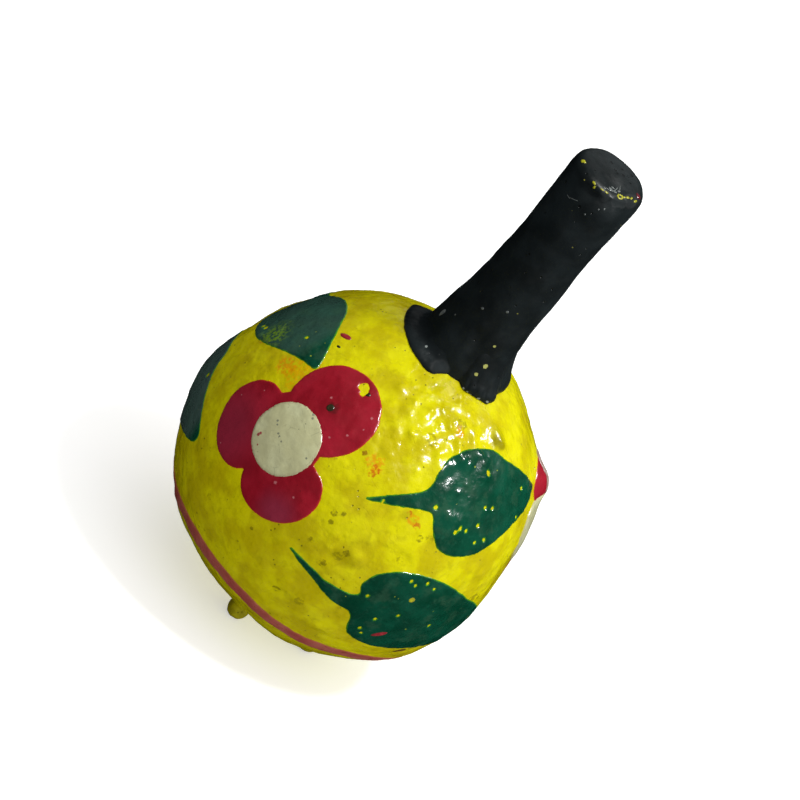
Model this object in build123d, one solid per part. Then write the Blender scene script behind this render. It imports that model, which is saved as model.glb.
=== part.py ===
from build123d import *
import math
import os

# A hand-made clay rattle: a hollow painted ball on four nub feet, with a solid clay handle on top
# and loose clay pellets sealed inside. Millimetres, +Z up along the ball's axis, the origin on the
# resting surface under the middle of the ball, -Y the painted front.

# Ball
BALL_RADIUS = 40.0
WALL = 5.0
UNDERSIDE_DROP = 36.0      # middle of the ball down to its flattened underside
UNDERSIDE_ROUND = 2.0
SEAM_DROP = 23.0           # middle of the ball down to the joint between the two bowls
VENT_RADIUS = 1.6          # firing vent through the underside
COIL_RADIUS = 2.2          # clay coil that seals the joint from inside

# Feet: name, direction round the ball in degrees from the front, distance from the axis
FOOT_RADIUS = 2.5
FOOT_LIFT = 2.4            # resting surface up to the flattened underside
FOOT_PRESS = 0.3           # how much of each foot tip is pressed flat
FEET = (
    ("foot_front", -4.0, 15.6),
    ("foot_right", 66.0, 16.8),
    ("foot_back", 166.0, 16.4),
    ("foot_left", -98.0, 16.2),
)

# Handle
HANDLE_LENGTH = 57.5       # top of the ball to the handle's end
HANDLE_LEAN = 0.8          # degrees, towards +X
HANDLE_ROOT_RADIUS = 10.8
HANDLE_WAIST_RADIUS = 8.2
HANDLE_END_RADIUS = 8.8
HANDLE_WAIST_LOW = 26.0    # the narrow stretch, measured up from the top of the ball
HANDLE_WAIST_HIGH = 40.0
HANDLE_END_ROUND = 2.4
TENON_RADIUS = 4.6
TENON_REACH = 9.0          # below the top of the ball, so it stands proud inside
INNER_LUTE_RADIUS = 1.9

# Lobes of clay pressed over the root of the handle: name, first and last direction in degrees
# from the front, how far the clay spreads from the axis, how high it climbs up the handle
LOBES = (
    ("root_lobe_left", -128.0, 12.0, 13.6, 5.0),
    ("root_lobe_right", 22.0, 112.0, 14.0, 9.5),
    ("root_lobe_back", 124.0, 220.0, 12.8, 5.0),
)
LOBE_ROOT_RADIUS = 6.0     # inner edge of a lobe before the handle is cut from it
LOBE_SOLE_DEPTH = 4.0      # below the top of the ball, before the ball is cut from it
LOBE_BROW = 0.9            # how far a lobe's upper edge stands off the handle

# Pellets: radius, distance from the axis and direction in degrees
PELLETS = (
    (3.2, 0.0, 0.0),
    (2.9, 9.2, 15.0),
    (3.3, 9.4, 88.0),
    (3.0, 9.0, 160.0),
    (2.8, 9.3, 233.0),
    (3.1, 9.1, 304.0),
)
PELLET_GAP = 0.3

CENTRE_HEIGHT = UNDERSIDE_DROP + FOOT_LIFT
CAVITY_RADIUS = BALL_RADIUS - WALL
CAVITY_FLOOR = UNDERSIDE_DROP - WALL
SPAN = 4 * BALL_RADIUS


def at(distance, direction, height=0.0):
    """A point round the ball's axis: direction in degrees from the front, turning towards +X."""
    turn = math.radians(direction)
    return (distance * math.sin(turn), -distance * math.cos(turn), height)


def slab(low, high):
    """Everything between two heights above the middle of the ball."""
    return Pos(0, 0, (low + high) / 2) * Box(SPAN, SPAN, high - low)


def handle_place():
    """The handle's own frame: its origin at the top of the ball, its +Z along the handle."""
    lean = math.radians(HANDLE_LEAN)
    return Location(Plane(origin=(0, 0, BALL_RADIUS), z_dir=(math.sin(lean), 0, math.cos(lean))))


def outer_ball():
    """The whole outside form, flat under the ball with a rounded edge."""
    ball = Sphere(BALL_RADIUS) & slab(-UNDERSIDE_DROP, BALL_RADIUS)
    rim = ball.edges().filter_by(GeomType.CIRCLE).sort_by(Axis.Z)[0]
    return fillet(rim, UNDERSIDE_ROUND)


def cavity():
    """The hollow inside, with a flat floor that the pellets lie on."""
    return Sphere(CAVITY_RADIUS) & slab(-CAVITY_FLOOR, CAVITY_RADIUS)


def tenon():
    """The handle's peg, long enough to pass the whole wall."""
    peg = Pos(0, 0, -TENON_REACH) * Cylinder(
        TENON_RADIUS, TENON_REACH + HANDLE_ROOT_RADIUS, align=(Align.CENTER, Align.CENTER, Align.MIN)
    )
    return handle_place() * peg


def ball_dome():
    """The upper bowl, pierced at the top for the handle's tenon."""
    return ((outer_ball() - cavity()) & slab(-SEAM_DROP, BALL_RADIUS)) - tenon()


def ball_base():
    """The lower bowl, with the firing vent through its underside."""
    bowl = (outer_ball() - cavity()) & slab(-UNDERSIDE_DROP, -SEAM_DROP)
    return bowl - Cylinder(VENT_RADIUS, SPAN)


def seam_coil():
    """A coil of clay smeared round the inside of the joint between the bowls."""
    ring_radius = math.sqrt(CAVITY_RADIUS**2 - SEAM_DROP**2) - COIL_RADIUS / 3
    return (Pos(0, 0, -SEAM_DROP) * Torus(ring_radius, COIL_RADIUS)) & cavity()


def handle():
    """The rolled stick: flared root, narrow grip, thick rounded end, and the tenon below."""
    root = (HANDLE_ROOT_RADIUS, -HANDLE_ROOT_RADIUS / 2)
    low = (HANDLE_WAIST_RADIUS, HANDLE_WAIST_LOW)
    high = (HANDLE_WAIST_RADIUS, HANDLE_WAIST_HIGH)
    shoulder = (HANDLE_END_RADIUS, HANDLE_LENGTH - HANDLE_END_ROUND)
    top = (HANDLE_END_RADIUS - HANDLE_END_ROUND, HANDLE_LENGTH)
    with BuildPart() as stick:
        with BuildSketch(Plane.XZ):
            with BuildLine():
                TangentArc(low, root, tangent=(0, -1))
                Line(low, high)
                TangentArc(high, shoulder, tangent=(0, 1))
                TangentArc(shoulder, top, tangent=(0, 1))
                Polyline(top, (0, top[1]), (0, root[1]), root)
            make_face()
        revolve(axis=Axis.Z)
    return (handle_place() * stick.part - Sphere(BALL_RADIUS)) + tenon()


def inner_lute():
    """A ring of clay that locks the tenon to the inside of the dome."""
    ring_radius = TENON_RADIUS + INNER_LUTE_RADIUS / 2
    height = math.sqrt(CAVITY_RADIUS**2 - ring_radius**2) - INNER_LUTE_RADIUS / 2
    return ((Pos(0, 0, height) * Torus(ring_radius, INNER_LUTE_RADIUS)) & cavity()) - tenon()


def root_lobe(first, last, spread, climb, stick):
    """A wedge of clay pressed into the corner between the ball and the handle."""
    brow = HANDLE_WAIST_RADIUS + LOBE_BROW
    with BuildPart() as wedge:
        with BuildSketch(Plane.XZ):
            with BuildLine():
                sole = Polyline(
                    (spread, BALL_RADIUS - LOBE_SOLE_DEPTH),
                    (LOBE_ROOT_RADIUS, BALL_RADIUS - LOBE_SOLE_DEPTH),
                    (LOBE_ROOT_RADIUS, BALL_RADIUS + climb),
                    (brow, BALL_RADIUS + climb),
                )
                RadiusArc(sole @ 1, sole @ 0, spread)
            make_face()
        revolve(axis=Axis.Z, revolution_arc=last - first)
    turned = Rot(0, 0, first - 90.0) * wedge.part
    return turned - Sphere(BALL_RADIUS) - stick


def foot(direction, distance):
    """A pinched ball of clay under the belly, its tip pressed flat on the resting surface."""
    height = -CENTRE_HEIGHT - FOOT_PRESS + FOOT_RADIUS
    nub = Pos(*at(distance, direction, height)) * Sphere(FOOT_RADIUS)
    return (nub - outer_ball()) & slab(-CENTRE_HEIGHT, BALL_RADIUS)


def pellet(radius, distance, direction):
    """A loose fired pellet lying on the cavity floor."""
    return Pos(*at(distance, direction, -CAVITY_FLOOR + PELLET_GAP + radius)) * Sphere(radius)


def build():
    stick = handle()
    nodes = {
        "ball_dome": ball_dome(),
        "ball_base": ball_base(),
        "seam_coil": seam_coil(),
        "handle": stick,
        "inner_lute": inner_lute(),
    }
    for name, first, last, spread, climb in LOBES:
        nodes[name] = root_lobe(first, last, spread, climb, stick)
    for name, direction, distance in FEET:
        nodes[name] = foot(direction, distance)
    for number, sizes in enumerate(PELLETS, 1):
        nodes[f"pellet_{number}"] = pellet(*sizes)
    return nodes


def main():
    os.makedirs("parts", exist_ok=True)
    for name, shape in build().items():
        export_step(Pos(0, 0, CENTRE_HEIGHT) * shape, f"parts/{name}.step")
    for number, (radius, distance, _) in enumerate(PELLETS, 1):
        roof = BALL_RADIUS - TENON_REACH - radius - PELLET_GAP
        curve = math.sqrt((CAVITY_RADIUS - radius - PELLET_GAP) ** 2 - distance**2)
        floor = -CAVITY_FLOOR + PELLET_GAP + radius
        print(f"pellet_{number} can rise {min(roof, curve) - floor:.1f} mm")


main()
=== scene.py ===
import math
import random

import bpy
import numpy as np
from mathutils import Matrix, Vector, noise
from mathutils.geometry import delaunay_2d_cdt


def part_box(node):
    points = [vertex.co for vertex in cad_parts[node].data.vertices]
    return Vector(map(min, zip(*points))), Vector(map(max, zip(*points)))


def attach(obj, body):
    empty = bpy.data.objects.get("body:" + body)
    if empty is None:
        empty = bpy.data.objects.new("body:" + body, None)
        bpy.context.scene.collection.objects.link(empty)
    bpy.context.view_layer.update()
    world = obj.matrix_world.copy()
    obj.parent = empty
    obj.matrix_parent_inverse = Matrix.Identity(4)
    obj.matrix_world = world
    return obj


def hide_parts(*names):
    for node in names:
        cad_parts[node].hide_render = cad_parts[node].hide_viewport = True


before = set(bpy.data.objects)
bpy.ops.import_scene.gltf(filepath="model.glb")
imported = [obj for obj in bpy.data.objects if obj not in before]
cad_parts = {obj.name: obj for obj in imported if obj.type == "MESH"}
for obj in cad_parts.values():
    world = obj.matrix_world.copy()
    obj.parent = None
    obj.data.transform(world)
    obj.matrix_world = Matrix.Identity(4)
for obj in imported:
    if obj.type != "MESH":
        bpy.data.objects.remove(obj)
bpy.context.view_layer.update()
random.seed(7)

# ---- sizes read from the frame, metres
MM = 0.001
dome_low, dome_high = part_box("ball_dome")
base_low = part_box("ball_base")[0]
handle_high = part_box("handle")[1]

BALL = round((dome_high.x - dome_low.x) / 2, 3)
CENTRE = Vector((0.0, 0.0, base_low.z + 0.9 * BALL))    # the underside is pressed flat at 0.9 of the radius
UNDERSIDE = CENTRE.z - base_low.z
WALL = 5.0 * MM
CAVITY = BALL - WALL
HANDLE_TOP = handle_high.z - CENTRE.z - BALL
HANDLE_LEAN = math.radians(0.8)
BODY = "rattle_body"


# ---- directions on the ball
def turned(degrees):
    """Cosine and sine of an angle in degrees."""
    return math.cos(math.radians(degrees)), math.sin(math.radians(degrees))


def direction(azimuth, latitude):
    """Unit vector from the ball's middle. Azimuth is in degrees from the front, turning towards +X."""
    (ca, sa), (cl, sl) = turned(azimuth), turned(latitude)
    return np.array((cl * sa, -cl * ca, sl))


def tangents(azimuth, latitude):
    """The directions of rising azimuth and rising latitude at a place on the ball."""
    (ca, sa), (cl, sl) = turned(azimuth), turned(latitude)
    return np.array((ca, sa, 0.0)), np.array((-sl * sa, sl * ca, cl))


def noise_at(points, scale, seed, octaves=2):
    """Smooth noise in -1..1 at points in metres; scale is the size of its features in metres."""
    shift = Vector((seed * 7.31, seed * 3.17, seed * 5.73))
    return np.array([noise.fractal(Vector(p) / scale + shift, 1.0, 2.0, octaves) for p in points])


# ---- the hand-made skin of the ball
# Broad swellings and flats: azimuth, latitude, spread in degrees, height in mm
SWELLS = (
    (125, 46, 13, -1.1), (-107, 28, 12, -0.7), (-87, -6, 15, 0.9), (-97, 13, 8, -0.6), (-10, -61, 15, -1.3),
    (-42, -53, 13, -0.9), (69, -33, 15, 0.9), (93, 6, 19, -1.9), (109, 32, 8, 0.4), (175, 10, 24, -0.9),
    (-150, -20, 22, 0.7), (-160, 45, 20, -0.6), (-60, 70, 12, 0.5),
)
# Finger dents and pressed lumps: azimuth, latitude, half-sizes along the two tangents, turn, height
DENTS = (
    (63, 58.7, 1.9, 2.7, 20, 1.15), (66, 60.5, 1.5, 3, 20, -0.3), (101, 36.8, 3.4, 3.9, -12, 1.7),
    (44, 58, 3, 2.2, 30, -0.5), (36, 52, 3.4, 2, 60, -0.35), (5, -12, 5, 1.6, 25, -0.3),
    (12, 2, 3.6, 1.5, 15, -0.35), (17, 6, 2.6, 1.6, 20, 0.3), (-2, -1, 4, 1.4, -20, -0.25),
    (41, 29, 3, 2.8, 0, 0.5), (30, 60, 3, 2, 0, 0.3), (-140, 5, 4, 2.5, 30, -0.5),
    (150, -12, 3, 2, 10, -0.6), (-170, 30, 3.6, 2.2, 40, 0.4), (12, 4, 2.2, 1.2, 20, -0.3),
    (16, 8, 1.6, 1, 0, 0.3), (30, 14, 3.2, 1.3, -30, -0.25), (24, 17, 2.6, 1.2, 10, 0.25),
    (5, -21, 4, 1.2, 15, -0.3), (12, -19, 2.6, 1.2, 15, 0.3), (23, -25, 3.6, 1.3, 10, 0.3),
    (35, 22, 2, 3, 0, -0.25), (38, 52, 1, 3.2, -30, 0.3), (42, 50, 0.9, 3, -20, 0.3),
    (35, 49, 1, 2.6, -40, 0.28),
)
# Fields of blisters: azimuth, latitude, spread in degrees, how many, height in mm
BLISTER_FIELDS = (
    (25, 45, 30, 150, 0.26), (22, 56, 19, 190, 0.42), (38, 50, 9, 50, 0.34), (15, 5, 35, 150, 0.20),
    (95, 0, 80, 90, 0.14), (-140, 0, 90, 150, 0.14),
)


def blister_field():
    """Small bumps and pits in the fired clay, thickest on the upper right of the front."""
    places, radii, heights = [], [], []
    for azimuth, latitude, spread, count, height in BLISTER_FIELDS:
        for _ in range(count):
            places.append(direction(random.gauss(azimuth, spread), random.gauss(latitude, spread * 0.45)))
            radii.append(random.uniform(0.6, 1.7) * MM / BALL)
            heights.append(random.uniform(-0.6, 1.0) * height * MM)
    return np.array(places), np.array(radii), np.array(heights)


BLISTERS = blister_field()


def flat_floor(n, depth):
    """Distance along unit vectors n to a level plane depth metres below the ball's middle."""
    return depth / np.clip(-n[:, 2], 1e-3, 1)


def skin_radius(n):
    """Distance from the ball's middle to its outer skin along unit vectors n."""
    r = np.full(len(n), BALL)
    for azimuth, latitude, spread, height in SWELLS:
        angle = np.arccos(np.clip(n @ direction(azimuth, latitude), -1, 1))
        r += height * MM * np.exp(-((angle / math.radians(spread)) ** 2))
    for azimuth, latitude, half_u, half_v, turn, height in DENTS:
        east, north = tangents(azimuth, latitude)
        c, s = turned(turn)
        u = (n @ (c * east + s * north)) * BALL / (half_u * MM)
        v = (n @ (c * north - s * east)) * BALL / (half_v * MM)
        facing = n @ direction(azimuth, latitude) > 0
        r += facing * height * MM * np.exp(-(u * u + v * v) ** 1.3)
    for place, radius, height in zip(*BLISTERS):
        near = n @ place
        hit = near > math.cos(3 * radius)
        r[hit] += height * np.exp(-2 * (1 - near[hit]) / radius**2)
    r += 0.20 * MM * noise_at(n * BALL, 9 * MM, 1) + 0.09 * MM * noise_at(n * BALL, 2.4 * MM, 2, 3)
    # the lesser of the round skin and the flat underside, blended where they meet
    flat, blend = np.minimum(flat_floor(n, UNDERSIDE), 3 * BALL), 0.9 * MM
    return -blend * np.log(np.exp(-(r - BALL) / blend) + np.exp(-(flat - BALL) / blend)) + BALL


def on_skin(n, lift=0.0):
    """Points on the outer skin along unit vectors n, raised by lift metres."""
    return np.array(CENTRE) + n * (skin_radius(n) + lift)[:, None]


# ---- mesh helpers
def add(name, data):
    """A new object in the scene."""
    made = bpy.data.objects.new(name, data)
    bpy.context.scene.collection.objects.link(made)
    return made


def make_piece(name, points, faces, material, body=BODY, edge=None):
    """A smooth mesh piece that rides on a body. edge is an optional value for each point."""
    mesh = bpy.data.meshes.new(name)
    mesh.from_pydata([tuple(p) for p in points], [], [tuple(f) for f in faces])
    mesh.validate()
    mesh.update()
    mesh.polygons.foreach_set("use_smooth", [True] * len(mesh.polygons))
    if edge is not None:
        mesh.attributes.new("paint_edge", "FLOAT", "POINT").data.foreach_set("value", edge)
    mesh.materials.append(material)
    piece = add(name, mesh)
    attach(piece, body)
    return piece


def band_faces(first, second, columns, flip=False):
    """Quads between two closed rows, each given by the number of its first point."""
    faces = []
    for j in range(columns):
        k = (j + 1) % columns
        quad = (first + j, first + k, second + k, second + j)
        faces.append(quad[::-1] if flip else quad)
    return faces


def grid_faces(rows, columns, offset=0, flip=False):
    """Quads between rows of points that each close on themselves."""
    faces = []
    for first in range(offset, offset + (rows - 1) * columns, columns):
        faces += band_faces(first, first + columns, columns, flip)
    return faces


def capped_faces(rows, columns, flip=False):
    """The same, with one more point at each end, after all the rows, that closes the first row and the last."""
    faces = grid_faces(rows, columns, flip=flip)
    end_row, pole = (rows - 1) * columns, rows * columns
    for j in range(columns):
        k = (j + 1) % columns
        for cap in ((k, j, pole), (end_row + j, end_row + k, pole + 1)):
            faces.append(cap[::-1] if flip else cap)
    return faces


def ring_angles(columns):
    return np.arange(columns) * 2 * math.pi / columns


def around(radius, turns, height):
    """Points at a radius off the upright axis, at azimuths in radians, and at a height."""
    return np.stack(np.broadcast_arrays(radius * np.sin(turns), -radius * np.cos(turns), height), axis=-1)


def shell_points(latitudes, columns, radius_of):
    """Rows of points; each row's latitude is a function of azimuth in degrees."""
    turns = ring_angles(columns)
    rows = []
    for latitude in latitudes:
        l = np.radians([latitude(math.degrees(a)) for a in turns])
        rows.append(radius_of(around(np.cos(l), turns, np.sin(l))))
    return np.concatenate(rows)


def distances(line):
    """How far along a line each of its points lies."""
    return np.concatenate(([0], np.cumsum(np.hypot(*np.diff(line, axis=0).T))))


def points_at(line, along, wanted):
    """Points of a flat line at the wanted distances; along is what distances gives."""
    return np.stack([np.interp(wanted, along, line[:, k]) for k in range(2)], axis=1)


def soften(values, times):
    """Rounds off the corners of a line of values, which keeps its ends."""
    for _ in range(times):
        values[1:-1] = (values[:-2] + 2 * values[1:-1] + values[2:]) / 4
    return values


# ---- painted ring, which hides the seam
def stripe_latitude(azimuth):
    """Middle of the painted ring: it dips at the front and wanders round the back."""
    a = (azimuth + 180) % 360 - 180
    wander = 1.1 * math.sin(math.radians(2 * azimuth + 40)) + 0.5 * math.sin(math.radians(5 * azimuth))
    return -34.0 - 4.9 * math.exp(-(((a - 22) / 32) ** 2)) + 0.9 * wander * (1 - math.exp(-((a / 80) ** 2)))


# ---- ball: two bowls
COLUMNS = 560
DOME_TOP = 78.5            # latitude of the hole for the tenon
VENT_LATITUDE = -87.6


def inner_wall(n):
    """Points on the cavity wall, flat at the floor."""
    r = np.minimum(CAVITY, flat_floor(n, UNDERSIDE - WALL))
    return np.array(CENTRE) + n * r[:, None]


def bowl(name, node, top, bottom, rows, material):
    """A hollow bowl between two latitudes, given as functions of azimuth: outside, rims and inside."""
    def between(t):
        return lambda a: top(a) + (bottom(a) - top(a)) * t

    inner_rows = rows // 4
    outside = [between(i / (rows - 1)) for i in range(rows)]
    inside = [between(1 - i / (inner_rows - 1)) for i in range(inner_rows)]
    points = np.concatenate((
        shell_points(outside, COLUMNS, on_skin),
        shell_points(inside, COLUMNS, inner_wall),
    ))
    total = rows + inner_rows
    faces = grid_faces(total, COLUMNS, flip=True) + band_faces((total - 1) * COLUMNS, 0, COLUMNS, flip=True)
    piece = make_piece(name, points, faces, material)
    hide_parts(node)


# ---- paint films
BURIED = -0.3              # height of a film's underside over the skin, mm


def smooth(t):
    t = np.clip(t, 0, 1)
    return t * t * (3 - 2 * t)


def closed_curve(knots, per_span=14):
    """A closed smooth curve through a few points."""
    a, b, c, d = (np.roll(knots, 1 - k, axis=0)[:, None] for k in range(4))
    t = (np.arange(per_span) / per_span)[:, None]
    curve = 0.5 * (2 * b + (c - a) * t + (2 * a - 5 * b + 4 * c - d) * t * t + (3 * b - a - 3 * c + d) * t**3)
    return curve.reshape(-1, 2)


def even_outline(points, step):
    """The same closed line with evenly spaced points."""
    loop = np.vstack((points, points[:1]))
    along = distances(loop)
    count = max(8, int(along[-1] / step))
    return points_at(loop, along, np.arange(count) * along[-1] / count)


def wobble(outline, amount, size, seed):
    """The uneven edge that a brush leaves."""
    ahead = np.roll(outline, -1, axis=0) - np.roll(outline, 1, axis=0)
    normal = np.stack((ahead[:, 1], -ahead[:, 0]), axis=1)
    normal /= np.maximum(np.hypot(*normal.T), 1e-9)[:, None]
    shifts = noise_at(np.c_[outline, np.zeros(len(outline))], size, seed)
    return outline + normal * (shifts * amount)[:, None]


def edge_distance(points, loops):
    """Distance from each point to the nearest outline."""
    best = np.full(len(points), 1e9)
    for loop in loops:
        for a, b in zip(loop, np.roll(loop, -1, axis=0)):
            along = b - a
            t = np.clip(((points - a) @ along) / max(along @ along, 1e-12), 0, 1)
            best = np.minimum(best, np.hypot(*(points - a - t[:, None] * along).T))
    return best


def enclosed(points, loop):
    """Which points lie inside a closed line."""
    hit = np.zeros(len(points), bool)
    x, y = points.T
    for (ax, ay), (bx, by) in zip(loop, np.roll(loop, -1, axis=0)):
        crosses = (ay > y) != (by > y)
        if ay != by:
            hit ^= crosses & (x < (bx - ax) * (y - ay) / (by - ay) + ax)
    return hit


def painted(points, loops):
    """Which points lie inside the first closed line and outside all the others."""
    hit = enclosed(points, loops[0])
    for hole in loops[1:]:
        hit &= ~enclosed(points, hole)
    return hit


def film(name, outline, place, material, slot, holes=(), thickness=0.13, step=0.55, rim=0.4, glow=0.8, shore=-0.02):
    """A thin closed layer of paint. outline and holes are in mm; place maps them and a lift to points. step is
    the size of its triangles, rim the width of its rounded edge and glow of its thin border, and shore the
    height of its edge over the skin."""
    fine = min(0.3, step * 0.6)
    loops = [even_outline(np.array(line), fine) for line in (outline, *holes)]
    low, high = loops[0].min(0), loops[0].max(0)
    rows = np.arange(low[1], high[1], step * 0.866)
    grid = np.array([(x + (step / 2) * (i % 2), y) for i, y in enumerate(rows)
                     for x in np.arange(low[0], high[0] + step, step)])
    grid = grid[painted(grid, loops)]
    grid = grid[edge_distance(grid, loops) > step * 0.5]
    edges, start = [], 0
    for loop in loops:
        edges += [(start + i, start + (i + 1) % len(loop)) for i in range(len(loop))]
        start += len(loop)
    made = delaunay_2d_cdt([Vector(p) for p in np.vstack((*loops, grid))], edges, [], 0, 1e-6)
    flat = np.array([tuple(p) for p in made[0]])
    triangles = np.array(made[2])
    triangles = triangles[painted(flat[triangles].mean(1), loops)]
    used, triangles = np.unique(triangles, return_inverse=True)
    triangles = triangles.reshape(-1, 3)
    flat = flat[used]
    count = len(flat)
    distance = edge_distance(flat, loops)
    top = place(flat, (shore + (thickness - shore) * np.sqrt(smooth(distance / rim))) * MM)
    bottom = place(flat, np.full(count, BURIED * MM))
    a, b, c = flat[triangles[:, 0]], flat[triangles[:, 1]], flat[triangles[:, 2]]
    clockwise = np.cross(b - a, c - a) < 0
    triangles[clockwise] = triangles[clockwise][:, ::-1]
    sides = dict.fromkeys((t[i], t[(i + 1) % 3]) for t in triangles for i in range(3))
    faces = [tuple(t) for t in triangles] + [tuple(t[::-1] + count) for t in triangles]
    faces += [(q, p, p + count, q + count) for p, q in sides if (q, p) not in sides]
    value = np.concatenate((smooth(distance / glow), np.ones(count)))
    return make_piece(name, np.concatenate((top, bottom)), faces, material, edge=value)


def on_ball(azimuth, latitude, turn=0.0, raised=0.0):
    """Maps flat mm to the ball's skin round a place; turn is in degrees, anticlockwise, raised in mm."""
    centre = direction(azimuth, latitude)
    east, north = tangents(azimuth, latitude)
    c, s = turned(turn)
    along, across = c * east + s * north, c * north - s * east

    def place(flat, lift):
        u, v = flat.T * MM
        far = np.hypot(u, v)
        angle = far / BALL
        ratio = np.sin(angle) / np.maximum(far, 1e-9)
        n = np.cos(angle)[:, None] * centre + (ratio * u)[:, None] * along + (ratio * v)[:, None] * across
        return on_skin(n, lift + raised * MM)

    return place


def ellipse(x, y, half_x, half_y, turn=0.0, count=40):
    """Points of an ellipse in mm."""
    a = ring_angles(count)
    c, s = turned(turn)
    u, v = half_x * np.cos(a), half_y * np.sin(a)
    return np.stack((x + c * u - s * v, y + s * u + c * v), axis=1)


def petals_outline(petals, hub, count=360):
    """The outer edge of overlapping petals: distance, direction, half-length, half-width of each.
    hub gives the red's reach between the petals, by direction."""
    a = ring_angles(count)
    rays = np.stack((np.cos(a), np.sin(a)), axis=1)
    reach = np.interp(np.degrees(a), *zip(*hub), period=360)
    for distance, way, half_long, half_wide in petals:
        c, s = turned(way)
        u, v = rays @ np.array((c, s)), rays @ np.array((-s, c))
        qa = (u / half_long) ** 2 + (v / half_wide) ** 2
        qb = -2 * distance * u / half_long**2
        qc = (distance / half_long) ** 2 - 1
        root = qb * qb - 4 * qa * qc
        far = np.where(root > 0, (-qb + np.sqrt(np.maximum(root, 0))) / (2 * qa), 0)
        reach = np.maximum(reach, far)
    return rays * reach[:, None]


def flower(name, azimuth, latitude, petals, disc, hub, holes=()):
    """Red petals with a cream disc in the middle. disc is its middle and its two half-widths."""
    outline = wobble(petals_outline(petals, hub), 0.18, 4.0, azimuth)
    film(f"{name}_petals", outline, on_ball(azimuth, latitude), CRIMSON, "crimson_paint", holes=holes)
    outline = wobble(ellipse(*disc), 0.15, 3.0, azimuth + 9)
    film(f"{name}_disc", outline, on_ball(azimuth, latitude, raised=0.10), CREAM, "cream_paint", thickness=0.16)


# Leaves point along +x. Knots in mm: along the upper side from the stalk, round the tip, and back.
LEAF_HIGH = (
    (-26.8, -4.3), (-20.4, -2.1), (-14.4, -0.2), (-12.3, 2.4), (-11.4, 5.4), (-9.2, 7.9), (-5.7, 10.2), (-1.3, 11.3),
    (3, 11.4), (7.2, 9.8), (12, 8.7), (17, 7.1), (21, 5.5), (20.9, 3.2), (19.2, 0.5), (14.8, -3.5),
    (8.5, -8.6), (3.5, -12), (-2.5, -13.4), (-6.9, -12.2), (-9.6, -8.6), (-11.4, -4.8), (-16.6, -4.6),
    (-22.9, -4.8),
)
LEAF_LOW = (
    (-32.3, -1.4), (-25.4, -1.7), (-20.4, -2.3), (-13.6, -1.2), (-14.4, 2), (-12.8, 5.8), (-8.4, 8.9), (-1.3, 9.8),
    (6, 8.6), (14.5, 5), (22, 1), (27.5, -4.6), (21.5, -11.6), (10, -13.8), (-1, -15), (-6.9, -13.6),
    (-9.4, -10.6), (-11.3, -7), (-17, -6.3), (-24, -4.2),
)
LEAF_LEFT_HIGH = (
    (-24, 0.8), (-16, 1.8), (-9, 3), (-5.8, 6.1), (-2.6, 8.6), (1.5, 10), (5, 10.2), (9.6, 9.8),
    (14.8, 8.9), (18.9, 7.8), (21.3, 6.4), (20.4, 4.5), (18.5, 2.4), (15.4, -1.8), (11.9, -6.3), (8.2, -9.6),
    (4.5, -11.5), (0.3, -12.1), (-3.2, -11), (-6, -6.5), (-8.4, -1.4), (-15, -1.2),
)
LEAF_LEFT_LOW = (
    (-28, -1), (-18, -0.6), (-11.6, 0.6), (-11, 4.6), (-7, 8.6), (-1, 10.4), (5.5, 10.4), (10.6, 8.8),
    (13.4, 6), (20.2, 1.4), (25.2, -1.6), (27.3, -4.2), (24.6, -7.4), (14, -10.8), (7, -13), (0, -14),
    (-6, -12.2), (-10.2, -7.6), (-12, -4.2), (-19, -3.8),
)


def chip(x, y, size, seed):
    """A small ragged hole in a paint film."""
    a = ring_angles(9)
    r = 0.85 * size * (1 + 0.45 * noise_at(np.c_[np.cos(a) + seed, np.sin(a), np.zeros(9)], 0.7, seed))
    return np.stack((x + r * np.cos(a) * 0.8, y + r * np.sin(a)), axis=1)


def leaf(name, knots, azimuth, latitude, turn, chips=(), scale=1.0):
    """A green heart-shaped leaf with a pointed stalk."""
    knots = [(x * scale, y * scale) for x, y in knots]
    outline = wobble(even_outline(closed_curve(knots), 0.3), 0.16, 2.0, azimuth + latitude)
    holes = [chip(x, y, size, i + azimuth) for i, (x, y, size) in enumerate(chips)]
    film(name, outline, on_ball(azimuth, latitude, turn), GREEN, "green_paint", holes=holes)


# ---- painted ring
def stripe():
    """A brushed ring of paint: a closed band with an uneven width."""
    columns, rows, half_width = 720, 11, 2.5 * MM / BALL
    azimuths = [360 * j / columns for j in range(columns)]
    ring = [(math.cos(math.radians(a)) * BALL, math.sin(math.radians(a)) * BALL, 0) for a in azimuths]
    upper = noise_at(ring, 5 * MM, 21) * 0.16
    lower = noise_at(ring, 6 * MM, 22) * 0.16
    points, edge = [], []
    for layer in ("top", "under"):
        for i in range(rows):
            t = 2 * i / (rows - 1) - 1
            n = []
            for a, up, down in zip(azimuths, upper, lower):
                spread = math.degrees(half_width) * t * (1 + (up if t > 0 else down))
                n.append(direction(a, stripe_latitude(a) + spread))
            shore = (1 - abs(t)) * 2.35
            lift = -0.05 + 0.17 * math.sqrt(float(smooth(shore / 0.5))) if layer == "top" else BURIED
            points.append(on_skin(np.array(n), lift * MM))
            edge += [float(smooth(shore / 0.9))] * columns
    under = rows * columns
    faces = grid_faces(rows, columns) + grid_faces(rows, columns, offset=under, flip=True)
    faces += band_faces(0, under, columns, flip=True) + band_faces(under - columns, 2 * under - columns, columns)
    make_piece("painted_ring", np.concatenate(points), faces, RING_RED, edge=edge)


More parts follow.
